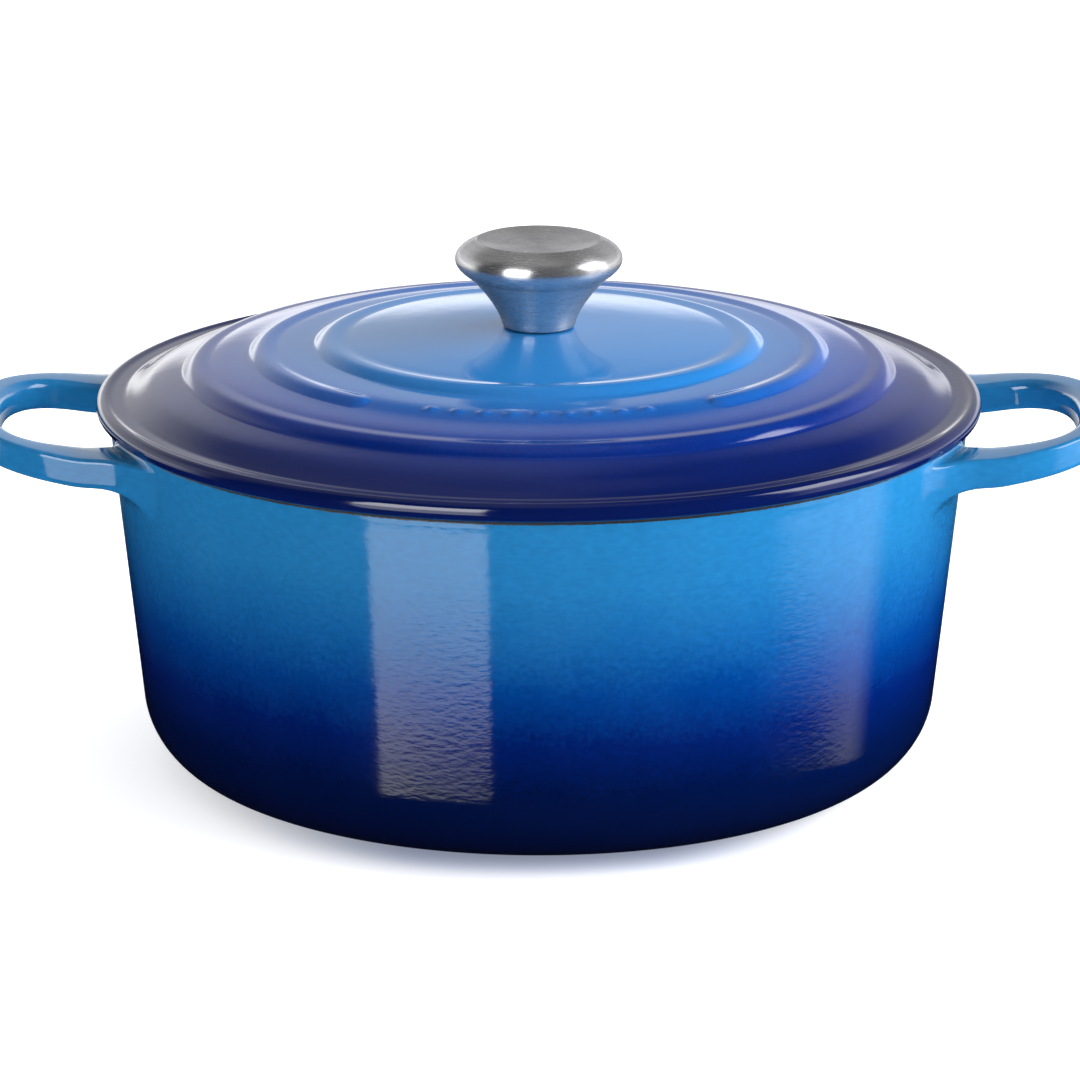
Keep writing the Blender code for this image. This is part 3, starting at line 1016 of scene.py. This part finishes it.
@dataclass
class Pot:
    """Round pot with its two handles, one casting.

    Attributes:
        height: Height of the rim.
        rim: Outer radius of the rim.
        wall: Thickness of the wall.
        floor: Thickness of the floor.
        lean: Lean of the wall.
        corner: Radius between floor and wall, outside.
        inner_corner: The same inside.
        edge: Rounding of the rim's edges.
        foot_width: Width of the foot ring that the pot stands on.
        foot_height: How far the floor is raised inside the foot ring.
        lip_depth: Half the height of the lip's groove.
        lip_relief: Depth of that groove.
        segments: Flats round the pot.
        handle: The loop on each side.
    """

    height: float = 0.1114
    rim: float = 0.1325
    wall: float = 0.0040
    floor: float = 0.0048
    lean: float = radians(6.0)
    corner: float = 0.0250
    inner_corner: float = 0.0215
    edge: float = 0.0010
    foot_width: float = 0.0120
    foot_height: float = 0.0008
    lip_depth: float = 0.0045
    lip_relief: float = 0.00008
    segments: int = 288
    handle: LoopHandle = field(default_factory=LoopHandle)

    def _turn_up(self, rim: float, floor_z: float, radius: float, steps: int) -> list[Point]:
        """Arc that turns a level floor up into the leaning wall.

        Args:
            rim: Radius of the wall at the rim.
            floor_z: Height of the floor.
            radius: Radius of the arc.
            steps: How many pieces the arc is split into.

        Returns:
            The arc's points, from the floor up.
        """
        end_z = floor_z + radius * (1 - sin(self.lean))
        end_r = rim - (self.height - end_z) * tan(self.lean)
        centre = (end_r - radius * cos(self.lean), floor_z + radius)
        return arc(centre, radius, -pi / 2, -self.lean, steps)

    def _wall(self, start: Point) -> list[Point]:
        """Outside of the wall, with a shallow groove that sets off its lip.

        Args:
            start: Where the wall starts, above the corner.

        Returns:
            The wall's points, from low to high.
        """
        line = []
        for r, z in straight(start, (self.rim, self.height - self.edge), 60):
            below = (self.height - z) / self.lip_depth
            groove = self.lip_relief * (smoothstep(below) - smoothstep(below - 1.0))
            line.append((r - groove, z))
        return line

    def build(self, finishes: Sequence[bpy.types.Material]) -> bpy.types.Object:
        """Make the pot.

        Args:
            finishes: Outside, inside and rim materials.

        Returns:
            The pot.
        """
        corner = self._turn_up(self.rim, 0.0, self.corner, 28)
        foot = corner[0][0] - self.foot_width
        outline = [(0.0, self.foot_height)]
        outline += straight(outline[0], (foot - self.foot_height, self.foot_height), 8)
        outline += [(foot, 0.0)] + corner + self._wall(corner[-1])
        outline += arc((self.rim - self.edge, self.height - self.edge), self.edge, 0, pi / 2, 6)[1:]
        top_start = len(outline) - 1
        inner_edge = self.rim - self.wall + self.edge
        outline += arc((inner_edge, self.height - self.edge), self.edge, pi / 2, pi, 6)
        top_end = len(outline) - 1
        base_z = self.foot_height + self.floor
        inside = self._turn_up(self.rim - self.wall, base_z, self.inner_corner, 24)[::-1]
        outline += straight(outline[-1], inside[0], 24) + inside[1:]
        outline += straight(outline[-1], (0.0, base_z), 10)
        zones = [Zone.OUTSIDE.value] * top_start + [Zone.RIM.value] * (top_end - top_start)
        zones += [Zone.INSIDE.value] * (len(outline) - 1 - top_end)
        shell = Shell("pot_casting")
        shell.turn(outline, zones, self.segments)
        for side in (1, -1):
            self.handle.add_to(shell, side)
        return fit(shell.make(finishes), "pot", "pot")


def from_front(angle: float) -> float:
    """Turn from the front of the lid, -pi to pi."""
    return (angle + pi / 2 + pi) % (2 * pi) - pi


@dataclass(frozen=True)
class Bead:
    """Raised ring on the lid.

    Attributes:
        inner: Radius and rise of its inner foot.
        outer: Radius and rise of its outer foot.
        height: How far its crest stands over its feet.
        opening: Angle left open at the front.
        lean: How far its crest lies towards its outer foot; 1 is in the middle.
    """

    inner: Point
    outer: Point
    height: float
    opening: float = 0.0
    lean: float = 1.45

    def lift(self, radius: float, angle: float) -> float:
        """Height of the bead at one place of the lid.

        Args:
            radius: Distance from the lid's axis.
            angle: Turn about it.

        Returns:
            The height that the bead adds.
        """
        width = self.outer[0] - self.inner[0]
        share = (radius - self.inner[0]) / width
        taper = 1.0
        if self.opening:
            past = max(self.opening / 2 - abs(from_front(angle)), 0.0) * self.inner[0] / (width / 2)
            taper = sqrt(max(1.0 - past * past, 0.0))
            share = 0.5 + (share - 0.5) / max(taper, 1e-6)
        if not 0.0 < share < 1.0:
            return 0.0
        return self.height * sqrt(taper) * sin(pi * share ** self.lean)


@dataclass
class Lid:
    """Domed lid with three beads, a hollow underside and a ring that locates it in the pot.

    Attributes:
        seat: Height of the face that sits on the rim.
        radius: Outer radius.
        crown: Height of the flat under the knob.
        crown_flat: Radius of that flat.
        wall: Thickness of the dome.
        nose: Rounding of the outer edge.
        flange: Radius and rise of the flat flange's inner edge.
        flange_flat: Width of the flange's flat.
        shoulder: Radius and rise of the step just inside the flange.
        apron_bulge: How far the slope outside the last bead bulges.
        hole: Radius of the screw's hole.
        locating_outer: Outer radius of the locating ring.
        locating_width: Its width.
        locating_depth: Its depth under the seat.
        locating_edge: Rounding of its edges.
        segments: Flats round the lid.
        beads: The raised rings.
        pip_ring: Radius on which the pips stand.
        pip_height: Height of a pip.
        pip_size: Radius of a pip.
        pip_spacing: Angle between two pips.
        pip_count: Number of pips.
        fine: Step between points of the top.
        coarse: Step between points of the underside.
    """

    seat: float = 0.1117
    radius: float = 0.1365
    crown: float = 0.1373
    crown_flat: float = 0.0125
    wall: float = 0.0043
    nose: float = 0.0029
    flange: Point = (0.1282, 0.0053)
    flange_flat: float = 0.0030
    shoulder: Point = (0.1262, 0.0060)
    apron_bulge: float = 0.0010
    hole: float = 0.0034
    locating_outer: float = 0.12710
    locating_width: float = 0.0040
    locating_depth: float = 0.0038
    locating_edge: float = 0.0010
    segments: int = 480
    beads: tuple[Bead, ...] = (
        Bead((0.0588, 0.0228), (0.0692, 0.0204), 0.0017, lean=1.6),
        Bead((0.0806, 0.0198), (0.0892, 0.0178), 0.0014, radians(80.0), 1.5),
        Bead((0.1010, 0.0160), (0.1098, 0.0122), 0.0016, lean=1.55),
    )
    pip_ring: float = 0.0840
    pip_height: float = 0.0008
    pip_size: float = 0.0026
    pip_spacing: float = radians(5.6)
    pip_count: int = 9
    fine: float = 0.0006
    coarse: float = 0.0030

    def _knots(self) -> list[Point]:
        """Points that the smooth top passes through.

        Returns:
            Radius and height of each, inside to outside.
        """
        start, rise = self.beads[0].inner
        knots = []
        for step in range(5):
            r = self.crown_flat + (start - self.crown_flat) * step / 5
            share = (r - self.crown_flat) / (start - self.crown_flat)
            knots.append((r, self.crown - (self.crown - self.seat - rise) * share ** 2))
        for bead in self.beads:
            knots += [(bead.inner[0], self.seat + bead.inner[1]), (bead.outer[0], self.seat + bead.outer[1])]
        return knots

    def _relief(self, radius: float, angle: float) -> float:
        """Height of the beads, and of the row of small round pips in the front opening.

        Args:
            radius: Distance from the lid's axis.
            angle: Turn about it.

        Returns:
            The height that they add.
        """
        lift = sum(bead.lift(radius, angle) for bead in self.beads)
        if abs(radius - self.pip_ring) < self.pip_size:
            turn = from_front(angle)
            nearest = round(turn / self.pip_spacing)
            if abs(nearest) <= self.pip_count // 2:
                along = (turn - nearest * self.pip_spacing) * self.pip_ring
                away = hypot(along, radius - self.pip_ring) / self.pip_size
                lift += self.pip_height * (1 - smoothstep(away))
        return lift

    def build(self, finishes: Sequence[bpy.types.Material]) -> bpy.types.Object:
        """Make the lid.

        Args:
            finishes: Outside and inside materials.

        Returns:
            The lid.
        """
        knots = self._knots()
        top = [(self.hole, self.crown), (self.crown_flat * 0.5, self.crown)]
        top += flowing(knots, self.fine)
        edge_start = (self.flange[0], self.seat + self.flange[1])
        flat_end = (edge_start[0] + self.flange_flat, edge_start[1])
        last = knots[-1]
        halfway = ((last[0] + edge_start[0]) / 2, (last[1] + edge_start[1]) / 2 + self.apron_bulge)
        nose = (self.radius - self.nose, self.seat + self.nose)
        shoulder = (self.shoulder[0], self.seat + self.shoulder[1])
        edge = (nose[0], self.seat + 2 * self.nose)
        top += flowing([last, halfway, shoulder, edge_start, flat_end, edge], self.fine)[1:]
        rounded = arc(nose, self.nose, pi / 2, -pi / 2, 16)[1:]
        outer = self.locating_outer
        inner = outer - self.locating_width
        low = self.seat - self.locating_depth + self.locating_edge
        ring = [(outer, self.seat)]
        ring += arc((outer - self.locating_edge, low), self.locating_edge, 0, -pi / 2, 4)
        ring += arc((inner + self.locating_edge, low), self.locating_edge, -pi / 2, -pi, 4)
        ring.append((inner, self.seat + self.locating_edge))
        under = [(r, z - self.wall) for r, z in flowing(knots, self.coarse)][::-1]
        hollow = flowing([under[0], (inner, self.seat + 0.0008)], self.coarse)[::-1][1:]
        outline = top + rounded + ring + hollow + under[1:] + [(self.hole, self.crown - self.wall)]
        start_inside = len(top) + len(rounded)
        shell = Shell("lid_casting")
        raised = self.flange[0]

        def relief(radius: float, angle: float) -> float:
            """Relief that only the top carries."""
            return self._relief(radius, angle) if radius < raised else 0.0

        shell.turn(outline[:start_inside], [Zone.OUTSIDE.value] * start_inside, self.segments, relief=relief)
        turns = [2 * pi * step / self.segments for step in range(self.segments)]
        rings = [list(range(len(shell.corners) - self.segments, len(shell.corners)))]
        for r, z in outline[start_inside:]:
            rings.append(shell.ring([(r * cos(a), r * sin(a), z) for a in turns]))
        rings.append(list(range(self.segments)))
        for before, after in zip(rings, rings[1:]):
            shell.bridge(before, after, Zone.INSIDE.value)
        return fit(shell.make(finishes), "lid", "lid")


@dataclass
class Knob:
    """Hollow flared knob with a dished top.

    Attributes:
        foot_z: Height of its foot.
        height: Height over the foot.
        foot: Radius of the foot.
        foot_edge: Rounding of the foot's edge.
        neck_height: Height of the flared neck.
        neck_top: Radius at the top of the neck.
        flare: How late the neck flares; 1 is a cone.
        widest: Largest radius.
        widest_height: Height of the largest radius over the foot.
        shoulder_fall: How far the round shoulder starts under the top.
        tuck: How far the underside of the head bulges.
        lip: Radius of the top's edge.
        lip_edge: Rounding of that edge.
        land: Width of the level land inside it.
        land_fall: How far the land falls inwards.
        dish: Depth of the dish.
        skin: Thickness of the metal.
        floor: Thickness of the foot.
        hole: Radius of the bush's hole.
        segments: Flats round the knob.
    """

    foot_z: float = 0.1376
    height: float = 0.0273
    foot: float = 0.0112
    foot_edge: float = 0.0009
    neck_height: float = 0.0155
    neck_top: float = 0.0210
    flare: float = 1.55
    widest: float = 0.0258
    widest_height: float = 0.0212
    shoulder_fall: float = 0.0024
    tuck: float = 0.0030
    lip: float = 0.0192
    lip_edge: float = 0.0002
    land: float = 0.0012
    land_fall: float = 0.00014
    dish: float = 0.0018
    skin: float = 0.0019
    floor: float = 0.0018
    hole: float = 0.0058
    segments: int = 160

    @staticmethod
    def _bent(first: Point, middle: Point, last: Point, steps: int) -> list[Point]:
        """Curve between two points that leans towards a middle one.

        Args:
            first: Where it starts.
            middle: The point it leans towards.
            last: Where it ends.
            steps: How many pieces it is split into.

        Returns:
            The curve's points, without its first.
        """
        points = []
        for step in range(1, steps + 1):
            t = step / steps
            points.append(tuple(a * (1 - t) ** 2 + 2 * m * t * (1 - t) + b * t * t
                                for a, m, b in zip(first, middle, last)))
        return points

    def _dish(self, steps: int) -> list[Point]:
        """Dished top, from its middle to the land inside its lip.

        Args:
            steps: How many pieces it is split into.

        Returns:
            The dish's points.
        """
        end = self.lip - self.land
        top = self.foot_z + self.height
        rise = self.dish - self.land_fall
        return [(end * s / steps, top - self.dish + rise * (s / steps) ** 2) for s in range(steps + 1)]

    def _neck(self, steps: int, inset: float) -> list[Point]:
        """Flared neck.

        Args:
            steps: How many pieces it is split into.
            inset: How far inside the outer face it lies.

        Returns:
            The neck's points, from top to foot.
        """
        points = []
        for step in range(steps + 1):
            share = 1 - step / steps
            radius = self.foot + (self.neck_top - self.foot) * share ** self.flare
            points.append((radius - inset, self.foot_z + self.neck_height * share))
        return points

    def build(self, finish: bpy.types.Material) -> bpy.types.Object:
        """Make the knob.

        Args:
            finish: Brushed steel.

        Returns:
            The knob.
        """
        top = self.foot_z + self.height
        widest = (self.widest, self.foot_z + self.widest_height)
        neck_top = (self.neck_top, self.foot_z + self.neck_height)
        shoulder = (self.widest, top - self.shoulder_fall)
        outline = self._dish(20)
        outline += [(self.lip - self.lip_edge, top - self.lip_edge * 0.2), (self.lip, top - self.lip_edge)]
        outline += self._bent(outline[-1], shoulder, widest, 24)
        outline += self._bent(widest, (widest[0], neck_top[1] + self.tuck), neck_top, 14)
        neck = self._neck(26, 0.0)[1:]
        outline += neck[:-2] + [(self.foot, self.foot_z + self.foot_edge)]
        corner = (self.foot - self.foot_edge, self.foot_z + self.foot_edge)
        outline += arc(corner, self.foot_edge, 0, -pi / 2, 5)[1:]
        outline += [(self.hole, self.foot_z), (self.hole, self.foot_z + self.floor)]
        inside = self._neck(14, self.skin)[::-1]
        inside = [point for point in inside if point[1] >= self.foot_z + self.floor]
        outline += [(inside[0][0], self.foot_z + self.floor)] + inside[1:]
        outline.append((self.widest - self.skin, self.foot_z + self.widest_height))
        outline += [(r * 0.9, z - self.skin) for r, z in self._dish(8)][::-1]
        shell = Shell("knob_turned")
        shell.turn(outline, [0] * len(outline), self.segments)
        return fit(shell.make([finish], 32.0), "lid", "knob")


# ------------------------------------------------------------------------------------------------ stage


@dataclass(frozen=True)
class SoftBox:
    """Tall soft box as glossy surfaces mirror it, in degrees round from the front and up.

    Attributes:
        left: Turn of its left side.
        right: Turn of its right side.
        low: Rises between which its low end fades in.
        high: Rise of its high end.
        soft: How far its sides fade.
        warm_up: Rises between which it gets brighter.
        strength: Strength at those two rises.
    """

    left: float
    right: float
    low: Point
    high: float
    soft: float
    warm_up: Point
    strength: Point

    def glow(self, graph: Graph, turn: Value, rise: Value) -> bpy.types.NodeSocket:
        """Strength of the box in one direction.

        Args:
            graph: Graph of the world's tree.
            turn: Degrees round from the front.
            rise: Degrees up from level.

        Returns:
            The strength.
        """
        left = graph.span(turn, self.left - self.soft, self.left + self.soft)
        right = graph.span(turn, self.right - self.soft, self.right + self.soft, 1, 0)
        ends = graph.maths(
            "MULTIPLY", graph.span(rise, *self.low), graph.span(rise, self.high - 2, self.high + 2, 1, 0),
        )
        mask = graph.maths("MULTIPLY", graph.maths("MULTIPLY", left, right), ends)
        return graph.maths("MULTIPLY", mask, graph.span(rise, *self.warm_up, *self.strength))


@dataclass
class Studio:
    """Plain pale floor, soft light all round, two tall soft boxes and a long-lens camera.

    Attributes:
        floor_size: Length of each side of the floor.
        near_shade: Distance within which the pot shades the floor.
        shade_reach: Distances from the middle between which the shade gets paler.
        shade_deep: Colour of the shade near the middle.
        shade_pale: Colour of the shade at the sides.
        floor_white: Colour of the open floor.
        floor_glow: How much the floor shines by itself.
        boxes: The soft boxes.
        ceiling: Strength straight up.
        gloom: Least strength anywhere.
        dome: Strength of the even light at the left and the right.
        cap: Strength of the light from the far right.
        centre: Middle of the view.
        distance: Distance of the camera from it.
        elevation: How far the camera looks down.
        drop: How far below the middle the camera aims.
        side: How far the camera stands to the right.
        lens: Focal length, in millimetres.
        sensor: Width of the sensor, in millimetres.
    """

    floor_size: float = 14.0
    near_shade: float = 0.032
    shade_reach: Point = (0.03, 0.11)
    shade_deep: Colour = (0.34, 0.38, 0.50)
    shade_pale: Colour = (0.86, 0.87, 0.89)
    floor_white: Colour = (0.93, 0.93, 0.94)
    floor_glow: float = 0.62
    boxes: tuple[SoftBox, ...] = (
        SoftBox(-48.0, -14.0, (-30.4, -28.5), 40.0, 0.8, (0, 14), (2.7, 8.0)),
        SoftBox(70.0, 108.0, (-26.4, -24.7), 46.0, 6.0, (10, 28), (0.92, 6.5)),
    )
    ceiling: float = 0.24
    gloom: float = 0.004
    dome: Point = (0.66, 0.80)
    cap: float = 9.0
    centre: Vector = field(default_factory=lambda: Vector((0.0, 0.0, 0.1143)))
    distance: float = 1.9301
    elevation: float = radians(14.4)
    drop: float = 0.0437
    side: float = 0.00037
    lens: float = 208.2
    sensor: float = 36.0

    def floor(self) -> None:
        """Lay the floor."""
        half = self.floor_size / 2
        mesh = bpy.data.meshes.new("floor")
        corners = [(-half, -half, 0), (half, -half, 0), (half, half, 0), (-half, half, 0)]
        mesh.from_pydata(corners, [], [(0, 1, 2, 3)])
        made, graph, shader = new_finish("floor_white")
        covered = graph.node("ShaderNodeAmbientOcclusion", {"Distance": self.near_shade}, samples=16)
        along = graph.maths("ABSOLUTE", graph.split(graph.place())[0])
        shade = graph.blend(graph.span(along, *self.shade_reach), self.shade_deep, self.shade_pale)
        white = graph.blend(graph.span(covered.outputs["AO"], 0.10, 0.90), shade, self.floor_white)
        graph.put(shader.inputs["Base Color"], white)
        graph.put(shader.inputs["Emission Color"], white)
        shader.inputs["Roughness"].default_value = 0.9
        shader.inputs["Specular IOR Level"].default_value = 0.0
        shader.inputs["Emission Strength"].default_value = self.floor_glow
        mesh.materials.append(made)
        thing = bpy.data.objects.new("floor", mesh)
        bpy.context.scene.collection.objects.link(thing)
        thing.visible_glossy = False

    @staticmethod
    def _behind(graph: Graph, x: Value, y: Value, rise: Value) -> bpy.types.NodeSocket:
        """Strength of the table, backdrop and veil that stand behind the pot.

        Args:
            graph: Graph of the world's tree.
            x: Share of the direction that points right.
            y: Share of it that points back.
            rise: Degrees up from level.

        Returns:
            The strength.
        """
        table = graph.maths("MULTIPLY", graph.span(rise, -17, -11), graph.span(rise, 5, 11, 1.0, 0.0))
        table = graph.maths("MULTIPLY", table, graph.span(x, 0.2, -0.25, 0.95, 1.25))
        backdrop = graph.maths("MULTIPLY", graph.span(rise, -2, 4), graph.span(rise, 18, 42, 1.0, 0.0))
        backdrop = graph.maths("MULTIPLY", backdrop, graph.span(x, 0.2, -0.3, 0.55, 1.00))
        veil = graph.maths("MULTIPLY", graph.span(rise, 22, 36), graph.span(rise, 64, 76, 1.0, 0.0))
        veil = graph.maths("MULTIPLY", veil, graph.span(x, 0.14, -0.04, 0.03, 0.22))
        total = graph.maths("ADD", graph.maths("ADD", table, backdrop), veil)
        return graph.maths("MULTIPLY", total, graph.span(y, -0.05, 0.30))

    @staticmethod
    def _choose(graph: Graph, ray: bpy.types.NodeSocket, other: Value, seen: Value) -> bpy.types.NodeSocket:
        """Strength for one kind of ray, and for every other.

        Args:
            graph: Graph of the world's tree.
            ray: Whether it is that kind of ray.
            other: Strength for the others.
            seen: Strength for that kind.

        Returns:
            The strength.
        """
        made = graph.node("ShaderNodeMix", data_type="FLOAT")
        for socket, value in zip((made.inputs[0], made.inputs[2], made.inputs[3]), (ray, other, seen)):
            graph.put(socket, value)
        return made.outputs[0]

    def light(self) -> None:
        """Light the room: an even dome for matt surfaces, and what glossy surfaces mirror."""
        world = bpy.data.worlds.new("studio")
        world.use_nodes = True
        bpy.context.scene.world = world
        graph = Graph(world.node_tree)
        back = world.node_tree.nodes["Background"]
        way = graph.node("ShaderNodeTexCoord").outputs["Generated"]
        x, y, z = graph.split(way)
        turn = graph.maths("DEGREES", graph.maths("ARCTAN2", x, graph.maths("MULTIPLY", y, -1.0)))
        rise = graph.maths("DEGREES", graph.maths("ARCSINE", z))
        total = graph.maths("ADD", self._behind(graph, x, y, rise), self.gloom)
        total = graph.maths("ADD", total, graph.span(rise, 60, 80, 0.0, self.ceiling))
        for box in self.boxes:
            total = graph.maths("ADD", total, box.glow(graph, turn, rise))
        soft = graph.span(x, -1.0, 0.3, *self.dome, smooth=False)
        soft = graph.maths("ADD", soft, graph.maths("MULTIPLY", graph.span(x, 0.68, 0.88), self.cap))
        path = graph.node("ShaderNodeLightPath")
        strength = self._choose(graph, path.outputs["Is Glossy Ray"], soft, total)
        strength = self._choose(graph, path.outputs["Is Camera Ray"], strength, 1.0)
        graph.put(back.inputs["Strength"], strength)
        back.inputs["Color"].default_value = (1.0, 1.0, 1.0, 1.0)

    def camera(self) -> None:
        """Stand the camera in front and a little above."""
        data = bpy.data.cameras.new("camera")
        data.lens = self.lens
        data.sensor_width = self.sensor
        data.clip_end = 50.0
        thing = bpy.data.objects.new("camera", data)
        bpy.context.scene.collection.objects.link(thing)
        back = Vector((0.0, -cos(self.elevation), sin(self.elevation)))
        up = Vector((0.0, sin(self.elevation), cos(self.elevation)))
        shift = Vector((self.side, 0.0, 0.0))
        thing.location = self.centre + back * self.distance + shift
        aim = self.centre - up * self.drop + shift
        thing.rotation_euler = (aim - thing.location).to_track_quat("-Z", "Y").to_euler()
        bpy.context.scene.camera = thing

    def build(self) -> None:
        """Set up the whole studio."""
        self.floor()
        self.light()
        self.camera()
        bpy.context.scene.view_settings.view_transform = "Standard"
        LOG.info("studio: floor, light and camera")


@dataclass
class Fixings:
    """Threaded bush, screw and spring washer that hold the knob, with their CAD shapes kept.

    Attributes:
        nodes: Their CAD nodes.
    """

    nodes: tuple[str, ...] = ("knob_bush", "knob_screw", "spring_washer")

    def dress(self, frame: dict[str, Any], finish: bpy.types.Material) -> None:
        """Give each fixing its finish.

        Args:
            frame: The loaded frame.
            finish: Satin steel.
        """
        for name in self.nodes:
            thing = frame["nodes"][name]
            thing.data.materials.clear()
            thing.data.materials.append(finish)
            LOG.info("%s: CAD shape with %s", name, finish.name)


def main() -> None:
    logging.basicConfig(level=logging.INFO, format="%(name)s: %(message)s")
    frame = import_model()
    effects = SharedEffects()
    cream = CreamEnamel().make(effects)
    Pot().build([PotEnamel().make(effects), cream, BareRim().make()])
    Lid().build([LidEnamel().make(effects), cream])
    steel = TurnedSteel("knob_steel", bright=paint(208, 208, 209), dull=paint(196, 196, 198), line=0.00022,
                        gloss=(0.22, 0.28), stretch=0.75)
    Knob().build(steel.make(effects))
    satin = TurnedSteel("fixing_steel", bright=paint(196, 195, 190), dull=paint(168, 167, 163), line=0.00015,
                        gloss=(0.28, 0.40), stretch=0.30)
    Fixings().dress(frame, satin.make(effects))
    Studio().build()
    bpy.context.view_layer.update()


if __name__ == "__main__":
    main()
